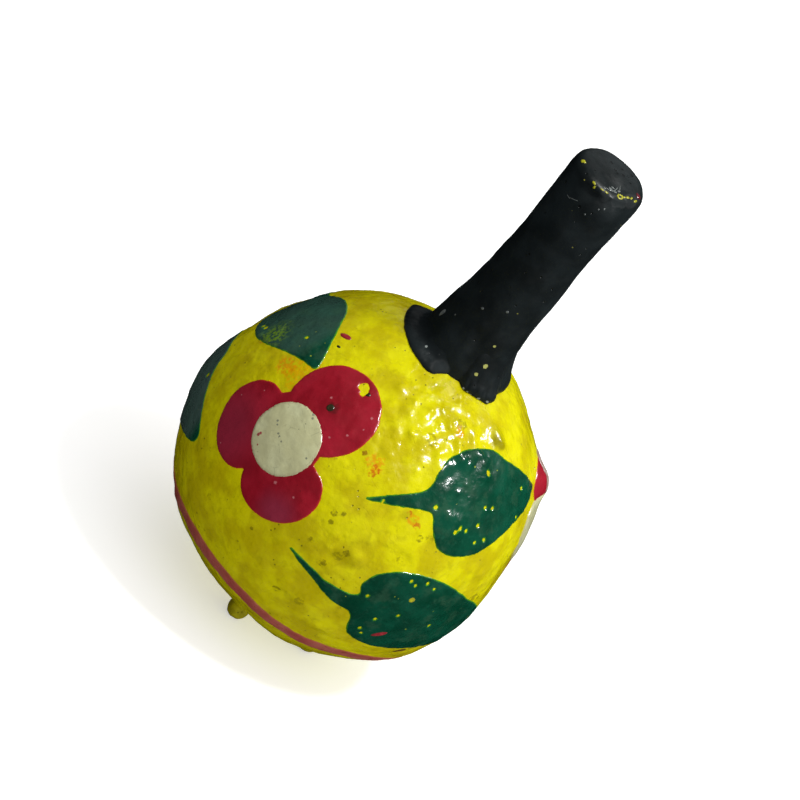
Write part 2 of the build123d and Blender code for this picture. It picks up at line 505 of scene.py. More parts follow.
# ---- handle
# Distance from the axis and height above the top of the ball, mm, from the tenon to the end
HANDLE_PROFILE = (
    (0, -9), (3.6, -9), (4.6, -8), (4.6, -5), (7.5, -4.2), (10.6, -3.4), (10.4, 0), (10, 4),
    (9.6, 7.5), (9.05, 14), (8.6, 24), (8.3, 34), (8.45, 42), (8.8, 50), (8.95, 53.6), (8.75, 55.6),
    (8, 56.8), (6.4, 57.3), (3.6, 57.45), (0, 57.5),
)
HANDLE_COLUMNS = 160


def handle_profile():
    """Distance along the profile in mm, and its radius and height at evenly spaced points in metres."""
    knots = np.array(HANDLE_PROFILE)
    along = distances(knots)
    wanted = np.linspace(0, along[-1], 230)
    r, z = soften(points_at(knots, along, wanted), 3).T
    return wanted, r * MM, z * HANDLE_TOP / HANDLE_PROFILE[-1][1]


PROFILE_ALONG, PROFILE_R, PROFILE_Z = handle_profile()
END = PROFILE_ALONG[-1]
HANDLE_TURN = Matrix.Translation(CENTRE + Vector((0, 0, BALL))) @ Matrix.Rotation(HANDLE_LEAN, 4, "Y")
# Hollows in the stick: azimuth, height in mm, half-width in degrees, half-height in mm, depth in mm
HANDLE_DENTS = (
    (-7, 54.2, 22, 1.8, 1.1), (36, 55.8, 34, 2.6, 1.3), (14, 47, 15, 5, 0.35), (-30, 20, 30, 8, 0.3),
    (35, 28, 24, 9, 0.3), (80, 16, 30, 8, 0.25), (150, 30, 30, 10, 0.4), (-120, 38, 26, 9, 0.3), (10, 8, 8, 5, 0.5),
    (-21, 8.4, 10, 2.2, 0.35), (-18, 12, 9, 1.5, 0.3), (-2, 10.6, 7, 1, 0.25), (27, 6, 9, 3, 0.4),
)
BOW = 0.35 * MM            # how far the stick bows towards +X a little below its middle
BOW_HEIGHT, BOW_SPREAD = 24.0, 12.0


def profile_at(along):
    """Radius and height of the handle's profile."""
    return np.interp(along, PROFILE_ALONG, PROFILE_R), np.interp(along, PROFILE_ALONG, PROFILE_Z)


def handle_points(turns, along, lift=0.0):
    """Points on the handle: azimuth in radians and distance along the profile in mm."""
    r, z = profile_at(along)
    slope_r, slope_z = (ahead - behind for ahead, behind in zip(profile_at(along + 0.3), profile_at(along - 0.3)))
    size = np.maximum(np.hypot(slope_r, slope_z), 1e-9)
    out_r, out_z = slope_z / size, -slope_r / size
    rough = around(r, turns, z)
    swell = 0.22 * MM * noise_at(rough, 11 * MM, 31) + 0.09 * MM * noise_at(rough, 3.2 * MM, 32)
    fade = smooth(r / MM / 5)
    for azimuth, height, half_turn, half_height, depth in HANDLE_DENTS:
        away = (np.degrees(turns) - azimuth + 180) % 360 - 180
        swell -= fade * depth * MM * np.exp(-((away / half_turn) ** 2) - ((z / MM - height) / half_height) ** 2)
    swell += lift
    buried = smooth((z / MM + 4.0) / 1.5)
    r = r + out_r * swell * buried
    z = z + out_z * swell * buried
    bow = BOW * np.exp(-(((z / MM - BOW_HEIGHT) / BOW_SPREAD) ** 2))
    local = np.stack((r * np.sin(turns) + bow, -r * np.cos(turns), z, np.ones(len(r))), axis=1)
    return (local @ np.array(HANDLE_TURN).T)[:, :3]


def handle_stick(material):
    """The rolled clay stick with its tenon."""
    along = PROFILE_ALONG[1:-1]
    turns = ring_angles(HANDLE_COLUMNS)
    rows = [handle_points(turns, np.full(HANDLE_COLUMNS, a)) for a in along]
    ends = [handle_points(np.zeros(1), np.array([a])) for a in (PROFILE_ALONG[0], END)]
    faces = capped_faces(len(along), HANDLE_COLUMNS)
    piece = make_piece("handle_stick", np.concatenate(rows + ends), faces, material)
    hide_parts("handle")


def on_handle(azimuth, along):
    """Maps flat mm to the handle's skin round a place."""
    radius = max(float(profile_at(along)[0]) / MM, 3.0)

    def place(flat, lift):
        turns = math.radians(azimuth) + flat[:, 0] / radius
        return handle_points(turns, along + flat[:, 1], lift)

    return place


# ---- clay lobes at the handle's root
def root_lobe(name, node, toe, thick, climb, flush, torn, material):
    """Clay smeared from the handle on to the ball. toe gives its edge as azimuth and distance from the
    axis. thick is how thick the edge is, climb how high it goes and torn how ragged it is, all in mm;
    flush is 1 where it runs up the stick and 0 where a crease parts them."""
    columns, rows = 170, 34
    stick = 9.4                # radius of the handle's root, mm
    azimuths, reach = np.array(toe, float).T
    azimuth = np.linspace(azimuths[0], azimuths[-1], columns)
    spread = soften(np.interp(azimuth, azimuths, reach), 2)
    turns = np.radians(azimuth)
    fade = np.sqrt(1 - np.linspace(-1, 1, columns) ** 12)
    ring = around(12, turns, climb)
    wave, ragged = noise_at(ring, 7.0, 51), noise_at(ring, 1.9, 52)
    torn = torn * np.exp(-(((azimuth - 46) / 24) ** 4)) + 0.05
    whole = stick + (spread - stick + 0.1 * wave) * fade
    out = whole + torn * ragged * fade
    high = 0.4 + (climb - 0.4 + 0.7 * wave) * fade
    lip = thick * (0.3 + 0.7 * fade) * (1 + 0.1 * wave + 0.4 * torn * ragged)
    width, brow = whole - 9.6, 1.3 * thick

    def blend(smeared, creased):
        return flush * smeared + (1 - flush) * creased

    # one section, from under the edge over the top to inside the stick: distance from the axis and height
    knots = np.stack([np.stack(np.broadcast_arrays(*pair), axis=1) for pair in (
        (out - 1.4, -0.5), (out - 0.2, -0.2), (out, lip * 0.4), (out - 0.3 * lip, lip * 0.92),
        (whole - 0.22 * width - 0.2, lip * 1.2),
        (blend(whole - 0.6 * width, 10.7), blend(brow + 0.33 * (high - brow), 1.15 * lip - 0.4)),
        (blend(whole - 0.85 * width, 10.1), blend(brow + 0.66 * (high - brow), 0.62 * high)),
        (9.45, high), (8.4, high + 0.2), (6.8, high * 0.4), (6.6 + 0 * out, -0.5))], axis=1)
    sections = []
    for line in knots:
        along = distances(line)
        sections.append(soften(points_at(line, along, np.linspace(0, along[-1], rows)), 2))
    rho, height = np.array(sections).reshape(-1, 2).T
    turns = np.repeat(turns, rows)
    solid = around(rho, turns, height)
    near_edge = np.clip((rho - np.repeat(out, rows) + 2.2) / 2.2, 0, 1)
    lump = 0.12 * noise_at(solid, 3.2, 53) + 1.1 * np.repeat(torn, rows) * near_edge * noise_at(solid, 0.9, 54)
    x, y = (rho + lump) * MM * np.sin(turns), -(rho + lump) * MM * np.cos(turns)
    n = np.stack((x, y, np.sqrt(BALL**2 - x * x - y * y)), axis=1) / BALL
    points = np.stack((x, y, CENTRE.z + skin_radius(n) * n[:, 2] + (height + lump) * MM), axis=1)
    faces = [(a, d, c, b) for a, b, c, d in grid_faces(columns, rows)]
    faces.append(tuple(range(rows)))
    faces.append(tuple((columns - 1) * rows + i for i in reversed(range(rows))))
    piece = make_piece(name, points, faces, material)
    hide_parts(node)


# ---- feet and pellets
def rolled_ball(radius, rows, columns, spread, squash, grain, seed):
    """Rows of points round a small ball of clay, and the size of its unevenness at each: about the origin, wider
    by spread above its middle, squash times as high, with bumps of about grain mm."""
    sink = math.pi * (np.arange(rows)[:, None] + 0.5) / rows
    ring = np.sin(sink) * radius * (1 + spread * np.maximum(0.0, np.cos(sink)) ** 2)
    points = around(ring, ring_angles(columns), radius * squash * np.cos(sink)).reshape(-1, 3)
    return points, noise_at(points, grain * MM, seed)[:, None]


def rolled_piece(name, node, points, rows, columns, material, body=BODY):
    """A closed piece from rows of points, with a pole in the middle of the first row and of the last."""
    poles = (points[:columns].mean(0), points[-columns:].mean(0))
    piece = make_piece(name, np.vstack((points, *poles)), capped_faces(rows, columns, flip=True), material, body)
    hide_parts(node)


def foot(name, node, seed, material):
    """A pinched nub: round, a little uneven, pressed flat where it stands, spread where it joins."""
    low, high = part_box(node)
    middle, radius = (low + high) / 2, (high.x - low.x) / 2
    rows, columns = 26, 44
    points, uneven = rolled_ball(radius, rows, columns, spread=0.28, squash=0.96, grain=1.8, seed=seed)
    points = points * (1 + 0.07 * uneven) + np.array((middle.x, middle.y, low.z + radius * 0.9))
    points[:, 2] = np.maximum(points[:, 2], low.z)
    rolled_piece(name, node, points, rows, columns, material)


def pellet(number, material):
    """A hand-rolled pellet, not quite round, sealed inside."""
    node = f"pellet_{number}"
    low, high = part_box(node)
    middle, radius = (low + high) / 2, (high.x - low.x) / 2
    rows, columns = 22, 36
    points, uneven = rolled_ball(radius, rows, columns, spread=0.0, squash=1.0, grain=2.6, seed=number)
    points = points * (0.97 + 0.05 * uneven) + np.array(middle)
    rolled_piece(f"clay_pellet_{number}", node, points, rows, columns, material, f"{node}_body")


# ---- materials
class Nodes:
    """Short names for building a node tree."""

    def __init__(self, tree):
        self.nodes, self.links = tree.nodes, tree.links

    def node(self, kind, inputs, **settings):
        """A new node with its settings, and the values or links of its input sockets."""
        made = self.nodes.new(kind)
        for key, value in settings.items():
            setattr(made, key, value)
        for key, value in inputs.items():
            self.link(value, made.inputs[key])
        return made

    def link(self, source, target):
        """Sets an input socket to a number or a colour, or joins an output to it."""
        if isinstance(source, (int, float)):
            target.default_value = source
        elif isinstance(source, tuple):
            target.default_value = source if len(source) == len(target.default_value) else (*source, 1.0)
        else:
            self.links.new(source, target)

    def math(self, operation, *values):
        return self.node("ShaderNodeMath", dict(enumerate(values)), operation=operation).outputs[0]

    def ramp(self, value, low, high, out_low=0.0, out_high=1.0, kind="SMOOTHSTEP"):
        """A value of low..high turned into out_low..out_high."""
        return self.node("ShaderNodeMapRange", {
            "Value": value, "From Min": low, "From Max": high, "To Min": out_low, "To Max": out_high,
        }, interpolation_type=kind).outputs["Result"]


class Shader(Nodes):
    """One material's nodes. Sizes are in mm; colour is what has been painted so far: at first patches of two
    tones, given as their size, the noise's low and high and the two colours."""

    def __init__(self, name, *tones, **look):
        self.material = bpy.data.materials.new(name)
        self.material.use_nodes = True
        super().__init__(self.material.node_tree)
        self.body = self.nodes["Principled BSDF"]
        self.place = self.node("ShaderNodeTexCoord", {}).outputs["Object"]
        if tones:
            self.colour = self.mix(self.clouds(*tones[:3], **look), *tones[3:])

    def noise(self, size, detail=4.0, roughness=0.55, distortion=0.0):
        """Noise whose features are about size."""
        return self.node("ShaderNodeTexNoise", {
            "Vector": self.place, "Scale": 1 / (size * MM), "Detail": detail, "Roughness": roughness,
            "Distortion": distortion,
        }).outputs["Fac"]

    def clouds(self, size, low, high, out_low=0.0, out_high=1.0, **look):
        """Soft patches of about size: noise of low..high turned into out_low..out_high."""
        return self.ramp(self.noise(size, **look), low, high, out_low, out_high)

    def dots(self, size, low, high, patches=None, feature="F1"):
        """1 in dots that fill low..high of cells of about size, but only where patches is 1."""
        cells = self.node("ShaderNodeTexVoronoi", {"Vector": self.place, "Scale": 1 / (size * MM)}, feature=feature)
        made = self.ramp(cells.outputs["Distance"], low, high, 1.0, 0.0)
        return made if patches is None else self.math("MULTIPLY", made, patches)

    def near(self, point, radius, ragged=0.35, core=0.9):
        """1 near a point in metres, 0 beyond radius, with a ragged border; core is the even part of it."""
        away = self.node("ShaderNodeVectorMath", {0: self.place, 1: tuple(point)}, operation="DISTANCE")
        metres = radius * MM
        rough = self.math("MULTIPLY_ADD", self.noise(radius * 0.7), metres * ragged * 2, -metres * ragged)
        far = self.math("ADD", away.outputs["Value"], rough)
        return self.ramp(far, metres * core, metres * 1.25, 1.0, 0.0)

    def rim(self, width, start=0.0, amount=1.0):
        """amount along the edge of a paint film, 0 further in."""
        edge = self.node("ShaderNodeAttribute", {}, attribute_name="paint_edge").outputs["Fac"]
        return self.ramp(edge, start, width, amount, 0.0)

    def mix(self, factor, a, b):
        return self.node("ShaderNodeMix", {"Factor": factor, 6: a, 7: b}, data_type="RGBA").outputs[2]

    def paint(self, mask, tint, amount=1.0):
        """Lays a tint over what has been painted so far, where mask is 1."""
        if amount != 1.0:
            mask = self.math("MULTIPLY", mask, amount)
        self.colour = self.mix(mask, self.colour, tint)

    def bump(self, height, strength, distance, normal=None):
        inputs = {"Height": height, "Strength": strength, "Distance": distance * MM}
        if normal is not None:
            inputs["Normal"] = normal
        return self.node("ShaderNodeBump", inputs).outputs["Normal"]

    def relief(self, fine=1.0):
        """Orange peel, brush drag and small blisters that every enamelled surface here shows."""
        lumps = self.bump(self.noise(4.2, detail=2), 0.5 * fine, 0.5)
        peel = self.noise(1.5, detail=3)
        height = self.math("ADD", peel, self.math("MULTIPLY", self.noise(0.35, detail=2), 0.2))
        normal = self.bump(height, 0.55 * fine, 0.22, lumps)
        return self.bump(self.dots(1.9, 0.0, 0.42, self.clouds(8, 0.48, 0.6)), 0.5 * fine, 0.16, normal)

    def finish(self, roughness, normal, specular, coat=0.0, coat_roughness=0.05):
        """Joins everything to the surface; coat is how much varnish lies over it."""
        for key, value in (("Base Color", self.colour), ("Roughness", roughness), ("Normal", normal),
                           ("Specular IOR Level", specular), ("Coat Weight", coat),
                           ("Coat Roughness", coat_roughness), ("Coat IOR", 1.25)):
            self.link(value, self.body.inputs[key])
        if coat:
            self.link(normal, self.body.inputs["Coat Normal"])
        return self.material


def skin_point(azimuth, latitude):
    return tuple(on_skin(np.array([direction(azimuth, latitude)]))[0])


# Stray marks on the yellow: azimuth, latitude, radius in mm, colour
DIRT, SMOKE = (0.20, 0.165, 0.002), (0.34, 0.29, 0.002)
ORANGE, RUST = (0.78, 0.30, 0.0), (0.62, 0.08, 0.004)
SMEARS = (
    (-45, 35.5, 4.2, (0.80, 0.42, 0)), (3, 34.5, 2, ORANGE), (4.2, 31.6, 0.8, RUST), (25.7, 26.4, 1.2, ORANGE),
    (28.4, 25.4, 0.8, RUST), (-71, 25, 1, (0.55, 0.2, 0.02)), (31, 58, 1.2, ORANGE),
    (-8, 14, 2.5, (0.74, 0.52, 0)), (68, 3, 2, SMOKE), (2.4, 14.9, 0.7, DIRT), (3.3, 12, 0.6, DIRT),
    (4.9, 16.5, 0.5, DIRT), (2, 2.9, 0.7, DIRT), (9.3, -1.2, 0.9, DIRT), (12, 3.8, 1.1, SMOKE),
    (13.5, 6.4, 0.8, DIRT), (31.6, 22.1, 0.8, DIRT), (35, 23, 0.9, SMOKE), (12.3, -18.9, 1.1, SMOKE),
    (4, -21, 0.9, DIRT), (29.4, 13, 0.8, SMOKE), (-33.6, -14.7, 0.7, SMOKE), (-14.6, -8.9, 0.4, DIRT),
    (31.4, 60.4, 1.2, SMOKE), (17, 51, 1.3, SMOKE), (-52, 31, 2.2, ORANGE), (3.2, 34, 0.6, RUST),
    (5.5, 33.6, 0.5, RUST), (-2.9, 35.2, 0.55, (0.25, 0.05, 0.004)), (23.5, 28, 0.5, RUST),
)
# Painted shade on the left and lower side of a lump on the upper right: azimuth, latitude, radius in mm, colour
SHADE = (0.34, 0.29, 0.0)
SHADES = ((61.0, 58.3, 2.7, (0.52, 0.46, 0.0)), (59.5, 58.0, 1.5, SHADE), (62.5, 56.2, 1.1, SHADE))


def yellow_enamel(name="yellow_enamel", painted_shade=0.0):
    """Hand-brushed lemon yellow over clay, with grime, faint creases darkened as painted shade, pinholes, stray
    smears, painted shade on one lump and, for the feet, darker patches of painted shade.
    """
    s = Shader(name, 7, 0.36, 0.62, (0.61, 0.515, 0.001), (0.775, 0.715, 0.001), detail=3)
    s.paint(s.clouds(2.4, 0.5, 0.72, detail=5, distortion=0.7), (0.46, 0.40, 0.001), 0.45)
    s.paint(s.clouds(0.9, 0.63, 0.74, detail=6, roughness=0.7), (0.24, 0.20, 0.002), 0.6)
    # Faint creases: darkened as painted shade, with a little relief in the bump below
    line = s.math("ABSOLUTE", s.math("SUBTRACT", s.noise(3.6, detail=1, distortion=0.5), 0.5))
    crease = s.math("MULTIPLY", s.ramp(line, 0.0, 0.03, 1.0, 0.0), s.clouds(6.5, 0.53, 0.62, detail=2))
    s.paint(crease, (0.36, 0.30, 0.001), 0.12)
    pits = s.dots(1.9, 0.07, 0.14, s.clouds(5, 0.50, 0.58))
    s.paint(pits, (0.10, 0.085, 0.004), 0.7)
    broken = s.clouds(0.9, 0.38, 0.58, detail=5)
    for azimuth, latitude, radius, tint in SMEARS:
        s.paint(s.math("MULTIPLY", s.near(skin_point(azimuth, latitude), radius, 0.8), broken), tint, 0.75)
    # Painted shade on the shaded side of that lump
    for azimuth, latitude, radius, tint in SHADES:
        s.paint(s.near(skin_point(azimuth, latitude), radius, 0.25, core=0.45), tint)
    # Painted shade: darker patches for the feet, which stand in shadow under the ball
    if painted_shade:
        s.paint(s.clouds(3, 0.3, 0.6, 0.5 * painted_shade, painted_shade), (0.20, 0.17, 0.004))
    normal = s.bump(s.math("ADD", pits, s.math("MULTIPLY", crease, 0.2)), 0.8, -0.14, s.relief())
    return s.finish(s.clouds(5, 0.35, 0.7, 0.20, 0.34), normal, 0.1, coat=0.55, coat_roughness=0.045)


def green_enamel():
    """Deep bottle green, thinner and brighter at its edge, greyer at the left, partly dust and partly a painted
    reflection of pale surroundings, with specks where yellow shows.
    """
    s = Shader("green_enamel", 7, 0.35, 0.65, (0.0015, 0.050, 0.025), (0.004, 0.080, 0.043))
    s.paint(s.clouds(1.8, 0.55, 0.75, detail=5, distortion=0.8), (0.012, 0.115, 0.065), 0.5)
    specks = s.dots(2.3, 0.07, 0.11, s.clouds(4, 0.55, 0.6))
    s.paint(specks, (0.36, 0.46, 0.03))
    # Greyer patches on the left side: dust, and a painted reflection of pale surroundings
    for azimuth, latitude, radius, amount in ((-80, -4, 15, 0.75), (-78, 34, 12, 0.35)):
        s.paint(s.near(skin_point(azimuth, latitude), radius, 0.1), (0.085, 0.13, 0.12), amount)
    s.paint(s.clouds(5, 0.50, 0.66, detail=5, roughness=0.65), (0.045, 0.115, 0.065), 0.35)
    mottled = s.near(skin_point(-71.0, 29.0), 4.5, 0.4, core=0.2)
    s.paint(s.math("MULTIPLY", mottled, s.clouds(0.8, 0.42, 0.60)), (0.16, 0.30, 0.02))
    s.paint(s.rim(0.60, 0.05), (0.09, 0.36, 0.003), 0.9)
    normal = s.bump(specks, 0.6, -0.08, s.relief(1.2))
    return s.finish(s.clouds(4, 0.35, 0.7, 0.20, 0.36), normal, 0.12, coat=0.42, coat_roughness=0.06)


# Pale haze on the front flower: place in mm, radius, strength
PETAL_HAZE = (((-28.1, -28.4, 42.3), 11, 0.5), ((-8.2, -39.3, 39.7), 5.5, 0.7))
# Marks on the front flower: place in mm, radius, colour
PINK, BLOOD, GREY = (0.54, 0.16, 0.18), (0.40, 0.09, 0.08), (0.27, 0.28, 0.19)
DISC_MARKS = (
    ((-21.9, -32.5, 48), 0.35, BLOOD), ((-21.7, -32.4, 48.6), 0.3, BLOOD), ((-20.6, -33.5, 46.5), 0.2, BLOOD),
    ((-15.5, -30.5, 59.5), 0.35, GREY), ((-15.1, -31.1, 58.9), 0.25, GREY), ((-18.7, -33.1, 51.7), 0.25, GREY),
    ((-18.1, -33.4, 51.5), 0.22, GREY), ((-20.6, -31.4, 53.1), 0.25, GREY), ((-20.1, -32, 52.6), 0.2, GREY),
    ((-17.1, -34.1, 51.2), 0.2, GREY), ((-10.6, -35.9, 53), 0.22, GREY),
)
PETAL_MARKS = (
    ((-30.2, -24.5, 48.4), 0.22, PINK), ((-27, -25.5, 53.4), 0.2, PINK), ((-14.9, -27.5, 63.8), 0.32, PINK),
    ((-12.4, -37.7, 44.5), 0.45, PINK), ((-7.3, -38.9, 45.2), 0.3, PINK), ((-7, -32, 61.7), 0.32, PINK),
    ((-5.3, -28.1, 66.6), 0.35, PINK), ((-5.1, -30.3, 64.4), 0.22, PINK), ((-9.7, -32.9, 59), 0.3, PINK),
    ((-27, -29.8, 38.9), 0.22, PINK), ((-13.2, -29.2, 62.9), 1.7, (0.16, 0.008, 0.012)),
)


def crimson_enamel():
    """Crimson brushed in flat strokes, with faint pale scuffs."""
    s = Shader("crimson_enamel", 9, 0.35, 0.7, (0.30, 0.006, 0.016), (0.42, 0.012, 0.030), detail=3)
    s.paint(s.clouds(2.2, 0.52, 0.75, detail=5, distortion=0.5), (0.24, 0.004, 0.012), 0.3)
    s.paint(s.clouds(0.8, 0.70, 0.78, detail=6, roughness=0.7), (0.55, 0.14, 0.17), 0.25)
    s.paint(s.dots(2.6, 0.04, 0.08), (0.09, 0.004, 0.008), 0.5)
    for place, radius, amount in PETAL_HAZE:
        s.paint(s.near(Vector(place) * MM, radius, 0.15, core=0.2), (0.33, 0.035, 0.075), amount)
    for place, radius, tint in PETAL_MARKS:
        s.paint(s.near(Vector(place) * MM, 0.85 * radius, 0.8, core=0.5), tint)
    s.paint(s.rim(0.55), (0.66, 0.08, 0.004), 0.85)
    return s.finish(s.clouds(5, 0.35, 0.7, 0.24, 0.36), s.relief(0.7), 0.15, coat=0.35, coat_roughness=0.08)


def ring_enamel():
    """The thinner, dustier red of the painted ring."""
    s = Shader("ring_enamel", 6, 0.35, 0.7, (0.46, 0.09, 0.07), (0.58, 0.16, 0.12))
    s.paint(s.clouds(1.6, 0.5, 0.7, detail=5), (0.36, 0.09, 0.03), 0.4)
    s.paint(s.rim(0.7), (0.46, 0.16, 0.01), 0.6)
    return s.finish(s.clouds(4, 0.35, 0.7, 0.26, 0.40), s.relief(0.7), 0.2, coat=0.3, coat_roughness=0.10)


def cream_enamel():
    """Cream white with faint hairline cracks, painted shade darkening its raised edge and a few red and grey flecks.
    """
    s = Shader("cream_enamel", 5, 0.35, 0.7, (0.66, 0.66, 0.36), (0.78, 0.80, 0.47))
    s.paint(s.clouds(1.4, 0.58, 0.72, detail=6, roughness=0.7), (0.40, 0.38, 0.20), 0.4)
    # Painted shade: darker along the edge of the raised disc
    s.paint(s.rim(1.6), (0.40, 0.33, 0.20), 0.6)
    cracks = s.dots(6.5, 0.006, 0.022, s.clouds(3, 0.50, 0.56, detail=3), "DISTANCE_TO_EDGE")
    s.paint(cracks, (0.12, 0.13, 0.07), 0.22)
    specks = s.dots(1.5, 0.08, 0.14, s.clouds(2.5, 0.52, 0.58))
    s.paint(specks, (0.24, 0.24, 0.13), 0.7)
    for place, radius, tint in DISC_MARKS:
        s.paint(s.near(Vector(place) * MM, radius, 0.7), tint)
    normal = s.bump(specks, 0.6, -0.08, s.relief(0.8))
    return s.finish(s.clouds(4, 0.35, 0.7, 0.26, 0.4), normal, 0.4, coat=0.3, coat_roughness=0.10)


# Flecks on the clay lobes: bare yellow showing through, painted highlights along the torn lower edge of the right lobe
# and a grey scuff on the left one; place in mm from the middle of the resting surface, radius, colour
BARE, GLINT_AND_SCUFF = (0.42, 0.42, 0.12), (0.30, 0.33, 0.32)
LOBE_FLECKS = (
    ((5.9, -9.3, 81.1), 0.4, BARE), ((6.3, -8.2, 83.5), 0.5, BARE), ((5, -8, 88.6), 0.3, BARE),
    ((7.7, -9.4, 76.4), 0.28, GLINT_AND_SCUFF), ((9.6, -8.8, 76.6), 0.35, GLINT_AND_SCUFF), ((11.5, -7.6, 76.8), 0.28, GLINT_AND_SCUFF),
    ((6.8, -10, 76.8), 0.22, GLINT_AND_SCUFF), ((5.7, -10.3, 77), 0.25, GLINT_AND_SCUFF), ((-6.3, -9.2, 78.4), 0.28, GLINT_AND_SCUFF),
)
# Pits in the handle's end face: azimuth, distance from its middle along the skin, radius, mm
END_PITS = (
    (-142, 3.2, 0.36), (-163, 0.9, 0.3), (167, 3.4, 0.3), (143, 5.2, 0.36), (130, 2.3, 0.32), (120, 0.6, 0.25),
    (-7, 14.8, 0.3),
)
# Where the black paint is dull: place in mm, radius
DULLED = (
    ((7.5, -3.1, 134.9), 2), ((5.2, -5.7, 134.1), 1.7), ((2.4, -7.3, 133.9), 1.5), ((-0.9, -11.7, 77.9), 2.6),
    ((6.2, -4.9, 134.2), 1.5),
)


def black_enamel():
    """Blue-black paint on rolled clay: satin, scuffed, with pinholes that show yellow and painted highlights on the
    torn edge of a clay lobe.
    """
    s = Shader("black_enamel", 8, 0.35, 0.7, (0.0075, 0.0105, 0.0115), (0.014, 0.0195, 0.0215))
    s.paint(s.clouds(1.1, 0.68, 0.78, detail=7, roughness=0.75), (0.09, 0.10, 0.09), 0.35)
    s.paint(s.dots(2.8, 0.05, 0.08, s.clouds(7, 0.57, 0.62)), (0.34, 0.32, 0.05))
    # Flecks on the lobes, among them painted highlights on the torn edge
    for place, radius, tint in LOBE_FLECKS:
        s.paint(s.near(Vector(place) * MM, radius, 0.5), tint)
    roughness = s.clouds(3, 0.35, 0.7, 0.34, 0.50, detail=5)
    for place, radius in DULLED:
        dull = s.math("MULTIPLY", s.near(Vector(place) * MM, radius, 0.3, core=0.5), 0.95)
        roughness = s.math("MAXIMUM", roughness, dull)
    pits = s.dots(2.2, 0.06, 0.13, s.clouds(5, 0.5, 0.56))
    for azimuth, back, radius in END_PITS:
        place = handle_points(np.radians([azimuth]), np.array([END - back]))[0]
        pits = s.math("MAXIMUM", pits, s.near(place, radius, 0.5))
    s.paint(pits, (0.004, 0.005, 0.006))
    lumps = s.bump(s.noise(3.4, detail=3), 0.5, 0.35)
    fine = s.bump(s.noise(0.5), 0.25, 0.08, lumps)
    return s.finish(roughness, s.bump(pits, 0.9, -0.3, fine), 0.12)


def fired_clay():
    """Bare earthenware: red-brown, dusty, with grit and finger drag."""
    s = Shader("fired_clay", 6, 0.3, 0.7, (0.36, 0.15, 0.08), (0.50, 0.24, 0.13))
    s.paint(s.dots(0.9, 0.08, 0.16), (0.60, 0.42, 0.28), 0.5)
    s.paint(s.clouds(12, 0.55, 0.7), (0.16, 0.08, 0.05), 0.5)
    return s.finish(s.clouds(2, 0.3, 0.7, 0.78, 0.95), s.bump(s.noise(0.7, detail=6), 0.5, 0.2), 0.25)


def dab(name, base, accent, roughness=0.3):
    """A small dab of one colour, darker at its edge."""
    s = Shader(name, 0.8, 0.4, 0.65, base, accent)
    s.paint(s.rim(0.8, amount=0.6), tuple(0.6 * c for c in base))
    return s.finish(roughness, s.relief(0.6), 0.2, coat=0.1, coat_roughness=0.1)


YELLOW = yellow_enamel()
GREEN = green_enamel()
CRIMSON = crimson_enamel()
RING_RED = ring_enamel()
CREAM = cream_enamel()
BLACK = black_enamel()
CLAY = fired_clay()
# The feet's yellow, darkened with painted shade
SHADED_NUB_YELLOW = yellow_enamel("shaded_nub_yellow_enamel", painted_shade=0.85)
DAB_RED = dab("dab_red", (0.36, 0.02, 0.03), (0.48, 0.05, 0.06))
DAB_DARK = dab("dab_dark", (0.03, 0.028, 0.012), (0.06, 0.05, 0.02))
DAB_BROWN = dab("dab_brown", (0.12, 0.045, 0.008), (0.18, 0.08, 0.015))
DAB_WINE = dab("dab_wine", (0.11, 0.010, 0.018), (0.20, 0.02, 0.03))
CHIP_YELLOW = dab("chip_yellow", (0.52, 0.50, 0.01), (0.34, 0.31, 0.02), 0.4)
CHIP_GREY = dab("chip_grey", (0.17, 0.19, 0.185), (0.06, 0.07, 0.075), 0.5)
PALE_PETAL_EDGE = dab("pale_petal_edge", (0.34, 0.20, 0.17), (0.50, 0.44, 0.38), 0.4)


# ---- build the object
bowl("painted_dome", "ball_dome", lambda a: DOME_TOP, stripe_latitude, 262, YELLOW)
bowl("painted_base", "ball_base", stripe_latitude, lambda a: VENT_LATITUDE, 116, YELLOW)
stripe()

flower("front_flower", -25.9, 20.0,
       ((12.0, 86, 10.9, 10.9), (11.0, -154, 9.1, 10.5), (10.0, -50, 8.3, 10.1)), (-0.5, 0.0, 8.4, 8.5),
       ((-100, 11.8), (-40, 10.0), (5, 8.6), (35, 8.6), (60, 11.0), (149, 11.3)),
       holes=(chip(0.4, 20.6, 1.3, 3), chip(1.6, 19.8, 1.1, 5), chip(1.1, 20.8, 0.9, 7)))
flower("right_flower", 96.5, 22.0,
       ((10.4, 68, 6.2, 6.6), (11.6, -2, 8.6, 9.0), (11.6, -64, 8.0, 8.6)), (0.0, 0.0, 8.3, 8.5), ((0, 7.4),))
# A pale greyish-pink patch along the far edge of the right flower
film("right_flower_pale_edge", wobble(ellipse(0, 0, 3.4, 7.2, -8), 0.3, 1.5, 3), on_ball(105.6, 35.5, raised=0.14),
     PALE_PETAL_EDGE, "cream_paint")
flower("back_flower", -150.0, 19.0,
       ((12.0, 95, 10.0, 10.4), (11.2, -150, 9.2, 10.4), (11.0, -35, 9.0, 10.2)), (0.0, 0.0, 8.2, 8.6), ((0, 10.6),))

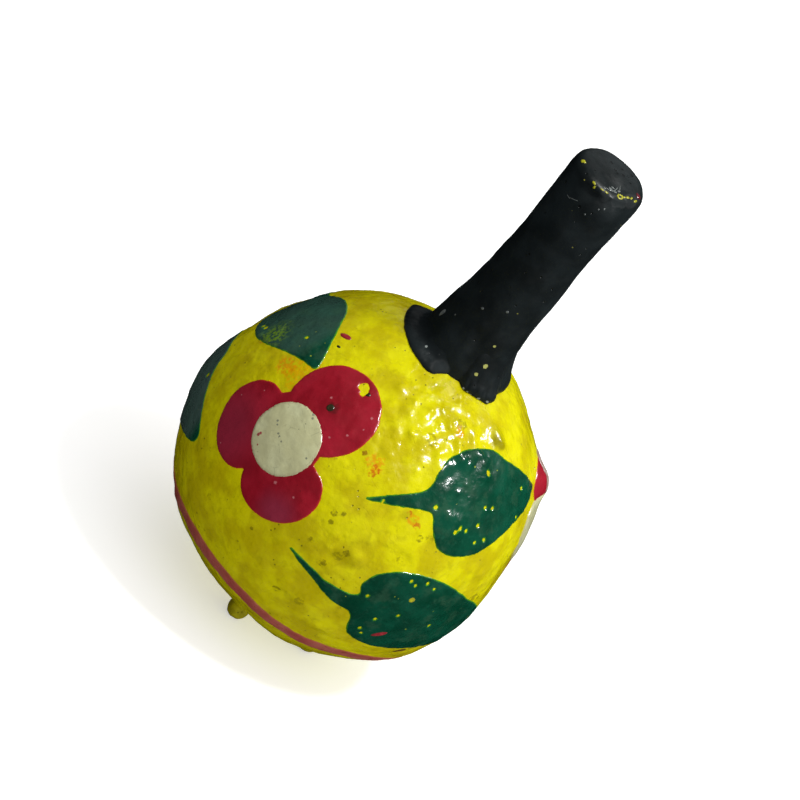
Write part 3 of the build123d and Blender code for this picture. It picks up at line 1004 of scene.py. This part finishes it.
leaf("front_leaf_high", LEAF_HIGH, 49.8, 39.0, 0.0, chips=(
    (1.8, 6.2, 0.6), (14.5, 4.2, 0.35), (2.5, -1.3, 0.35), (4.8, -1.2, 0.4), (1.5, -5.4, 0.45), (-4.3, -7.7, 0.5),
    (-3.4, -6.6, 0.5), (-1.4, -7.0, 0.4), (4.7, -8.3, 0.4), (2.3, -9.3, 0.35), (-10.6, -3.2, 0.55), (14.6, -2.3, 0.3),
    (-22.5, -4.0, 0.25)))
leaf("front_leaf_low", LEAF_LOW, 44.1, -2.7, 0.0, chips=(
    (-4.9, 7.6, 0.35), (-3.4, 6.9, 0.3), (-0.9, 8.2, 0.35), (1.7, 7.2, 0.3), (-5.6, -5.4, 0.4), (-6.3, -9.9, 0.4),
    (-4.8, -11.4, 0.3), (-1.6, -2.3, 0.35), (8.6, -3.7, 0.3), (-11.3, -0.3, 0.35)))
leaf("left_leaf_high", LEAF_LEFT_HIGH, -85.0, 37.5, 0.0, chips=((2.6, -9.6, 0.5), (4.0, -8.6, 0.5), (12.0, 3.0, 0.4)))
leaf("left_leaf_low", LEAF_LEFT_LOW, -92.0, -3.0, 0.0, chips=((13.0, 3.2, 0.6), (4.0, -4.0, 0.4)))
leaf("back_leaf_high", LEAF_HIGH, 168.0, 38.0, 3.0, scale=0.97, chips=((3.0, 4.0, 0.5), (-2.0, -6.0, 0.5)))
leaf("back_leaf_low", LEAF_LOW, 164.0, -3.0, 2.0, scale=0.92, chips=((0.0, 3.0, 0.5), (6.0, -6.0, 0.5)))

# Stray dabs: name, outline in mm, place, height over the skin in mm, material, slot, and how the film is made
for name, outline, place, raised, material, slot, look in (
    ("leaf_ring_blot", ellipse(0, 0, 0.85, 0.85, 0, 16), (41.6, 1.7), 0.10, CHIP_YELLOW, "yellow_painted_clay",
     {"step": 0.25, "thickness": 0.10}),
    ("stray_red_dab", ellipse(0, 0, 0.75, 1.6, -52, 16), (-57.9, 51.6), 0.0, DAB_RED, "crimson_paint", {"step": 0.3}),
    ("stray_black_dab", ellipse(0, 0, 0.35, 0.6, -60, 12), (-51.8, 48.6), 0.0, DAB_DARK, "black_painted_clay",
     {"step": 0.2}),
    ("petal_black_chip", chip(0, 0, 0.75, 2.5), (-20.2, 48.9), 0.1, DAB_DARK, "black_painted_clay",
     {"step": 0.2, "shore": 0.02}),
    ("petal_dark_spot", ellipse(0, 0, 0.9, 0.95, 0, 14), (-25.2, 37.0), 0.12, DAB_DARK, "black_painted_clay",
     {"step": 0.25}),
    ("leaf_red_dash", ellipse(0, 0, 1.9, 0.78, 44, 18), (42.4, -16.6), 0.12, DAB_RED, "crimson_paint", {"step": 0.3}),
    ("low_brown_dash", ellipse(0, 0, 1.7, 0.7, 30, 18), (58.9, -24.1), 0.0, DAB_BROWN, "crimson_paint", {"step": 0.3}),
):
    film(name, outline, on_ball(*place, raised=raised), material, slot, **look)

handle_stick(BLACK)
root_lobe("root_clay_left", "root_lobe_left", (
    (-160, 12.5), (-150, 14.6), (-143, 14.6), (-135, 12.4), (-122, 12.6), (-114, 15.9), (-104, 15.2), (-88, 14.4),
    (-59, 14.0), (-24, 13.8), (-12, 13.7), (-6, 13.2), (-1, 11.8), (6, 10.6), (18, 10.2)), 0.95, 4.4, 0.3, 0.06, BLACK)
root_lobe("root_clay_right", "root_lobe_right", (
    (18, 10.4), (23, 11.2), (27, 12.0), (34, 12.3), (41, 12.7), (57, 14.1), (65, 14.0), (70, 13.0), (75, 12.6),
    (83, 12.7), (95, 13.1), (117, 14.0), (128, 13.6)), 2.2, 10.0, 1.0, 0.32, BLACK)
root_lobe("root_clay_back", "root_lobe_back", (
    (118, 12.4), (132, 13.3), (150, 12.6), (176, 13.4), (196, 12.6), (208, 12.8)), 1.6, 5.0, 0.3, 0.1, BLACK)


def handle_marks(kind, marks, material, slot, outline_of, **look):
    """Small films on the handle: azimuth, distance from the end along the skin in mm, and what outline_of takes."""
    for number, (azimuth, back, *shape) in enumerate(marks, 1):
        film(f"handle_{kind}_{number}", outline_of(number, *shape), on_handle(azimuth, END - back), material, slot,
             **look)


def worn_spot(seed, wide, tall, turn=0.0):
    """A ragged spot with these half-sizes in mm."""
    c, s = turned(turn)
    return chip(0, 0, 1, seed) * np.array((wide, tall)) @ np.array(((c, s), (-s, c)))


handle_marks("chip", (
    (-59, 8.0, 1.0, 0.65, 15), (-15, 8.3, 0.8, 0.35, -10), (-10, 9.0, 0.4, 0.5, 0), (2, 7.8, 0.8, 0.3, 20),
    (11, 7.4, 0.7, 0.35, 10), (53, 6.4, 0.5, 0.3, 10), (60, 6.5, 0.7, 0.4, -10), (68, 6.9, 0.6, 0.35, 20),
    (75, 7.9, 0.8, 0.4, 0),
), CHIP_YELLOW, "yellow_painted_clay", lambda number, *shape: worn_spot(number * 1.7, *shape),
    step=0.25, thickness=0.07, rim=0.2, shore=0.02)
film("handle_ring_mark", ellipse(0, 0, 0.85, 0.85, 0, 20), on_handle(43, END - 6.3), CHIP_YELLOW,
     "yellow_painted_clay", holes=(ellipse(0, 0, 0.36, 0.38, 0, 14),), step=0.2, thickness=0.09, rim=0.2,
     shore=0.02)
film("handle_end_red_speck", chip(0, 0, 1.1, 4.4), on_handle(89, END - 7.3), DAB_WINE, "crimson_paint", step=0.3)
handle_marks("scratch", (
    (12, 6.2, 0.8, 0.12, 15), (36, 4.3, 0.9, 0.12, 50), (50, 3.9, 0.7, 0.1, 70), (-21, 14.7, 1.3, 0.1, 28),
    (-29, 15.3, 0.6, 0.09, -5), (24, 12.0, 0.25, 0.2, 0), (17, 12.7, 0.22, 0.2, 0), (6, 15.5, 0.25, 0.2, 0),
), CHIP_GREY, "black_painted_clay", lambda number, *shape: ellipse(0, 0, *shape, 20),
    step=0.2, thickness=0.06, rim=0.1, shore=0.03)
handle_marks("scuff", (
    (-61, 58.7, 0.9, 1.2), (-18, 49.5, 0.5, 0.35), (12, 46.1, 0.55, 0.4), (-41, 55.8, 0.3, 0.3),
    (18, 5.4, 1.1, 0.5), (31, 5.2, 0.9, 0.4), (44, 4.7, 0.7, 0.35), (24, 4.4, 0.7, 0.25), (4, 6.8, 0.6, 0.25),
), CHIP_GREY, "black_painted_clay", lambda number, *shape: worn_spot(2.2 + number, *shape),
    step=0.22, thickness=0.06, rim=0.2, shore=0.02)

for seed, side in enumerate(("front", "right", "back", "left"), 41):
    foot(f"nub_{side}", f"foot_{side}", seed, SHADED_NUB_YELLOW)
for number in range(1, 7):
    pellet(number, CLAY)
for node in ("seam_coil", "inner_lute"):
    for index in range(len(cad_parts[node].data.materials)):
        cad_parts[node].data.materials[index] = CLAY


# ---- studio
def studio():
    """Pale lit floor, soft overhead key light, pale surroundings with a little light from below right."""
    mesh = bpy.data.meshes.new("floor")
    half = 3.0
    mesh.from_pydata([(-half, -half, 0), (half, -half, 0), (half, half, 0), (-half, half, 0)], [], [(0, 1, 2, 3)])
    s = Shader("floor_paper")
    grain = s.clouds(20, 0.3, 0.7, 0.88, 0.90)
    s.colour = s.node("ShaderNodeCombineColor", dict.fromkeys(range(3), grain)).outputs[0]
    mesh.materials.append(s.finish(0.9, s.bump(s.noise(4), 0.1, 0.2), 0.1))
    s.body.inputs["Emission Color"].default_value = (1.0, 1.0, 1.0, 1.0)
    s.body.inputs["Emission Strength"].default_value = 0.45
    floor = add("floor", mesh)
    floor.visible_diffuse = False
    floor.visible_glossy = False
    floor.visible_shadow = False

    def area(name, way, distance, size, power, diffuse=True, colour=(1.0, 1.0, 1.0)):
        """A square lamp aimed at the ball's middle."""
        light = bpy.data.lights.new(name, "AREA")
        light.shape = "SQUARE"
        light.size = size
        light.energy = power
        light.color = colour
        lamp = add(name, light)
        way = Vector(way).normalized()
        lamp.location = CENTRE + way * distance
        lamp.rotation_euler = way.to_track_quat("Z", "Y").to_euler()
        lamp.visible_diffuse = diffuse

    area("key", (0.33, -0.05, 0.94), 0.9, 0.10, 3.6, colour=(0.95, 1.0, 0.92))
    area("glint", (0.43, -0.06, 0.90), 0.89, 0.18, 30.0, diffuse=False)
    area("rear", (-0.12, 0.87, 0.48), 1.3, 0.7, 0.85, diffuse=False)
    world = bpy.data.worlds.new("studio")
    world.use_nodes = True
    world.cycles_visibility.glossy = False
    w = Nodes(world.node_tree)
    way = w.node("ShaderNodeTexCoord", {}).outputs["Generated"]
    levels = []
    for towards, low, dim, bright in (((0.62, 0.10, 0.78), -1, 0.02, 1.04), ((0.60, -0.40, -0.69), 0, 0.0, 0.24)):
        dot = w.node("ShaderNodeVectorMath", {0: way, 1: towards}, operation="DOT_PRODUCT").outputs["Value"]
        levels.append(w.ramp(dot, low, 1, dim, bright, "LINEAR"))
    background = w.nodes["Background"].inputs
    w.link((1.0, 1.0, 1.0), background["Color"])
    w.link(w.math("ADD", *levels), background["Strength"])
    bpy.context.scene.world = world


def camera():
    """Front view from 29 degrees above, with the picture turned so that the handle points up right."""
    data = bpy.data.cameras.new("camera")
    cam = add("camera", data)
    bpy.context.scene.camera = cam
    raised, tilt, distance, width = math.radians(29), math.radians(50), 6.0, 173.9 * MM
    shift_right, shift_up = 9.13 * MM, 15.87 * MM
    back = Vector((0, -math.cos(raised), math.sin(raised)))
    level = Vector((1, 0, 0))
    upright = back.cross(level)
    right = level * math.sin(tilt) + upright * math.cos(tilt)
    up = upright * math.sin(tilt) - level * math.cos(tilt)
    cam.matrix_world = Matrix.Translation(CENTRE + right * shift_right + up * shift_up + back * distance) @ Matrix(
        (right, up, back)).transposed().to_4x4()
    data.sensor_width = 36
    data.lens = data.sensor_width * distance / width
    data.clip_start, data.clip_end = 0.1, 40


studio()
camera()
scene = bpy.context.scene
scene.view_settings.view_transform = "Standard"
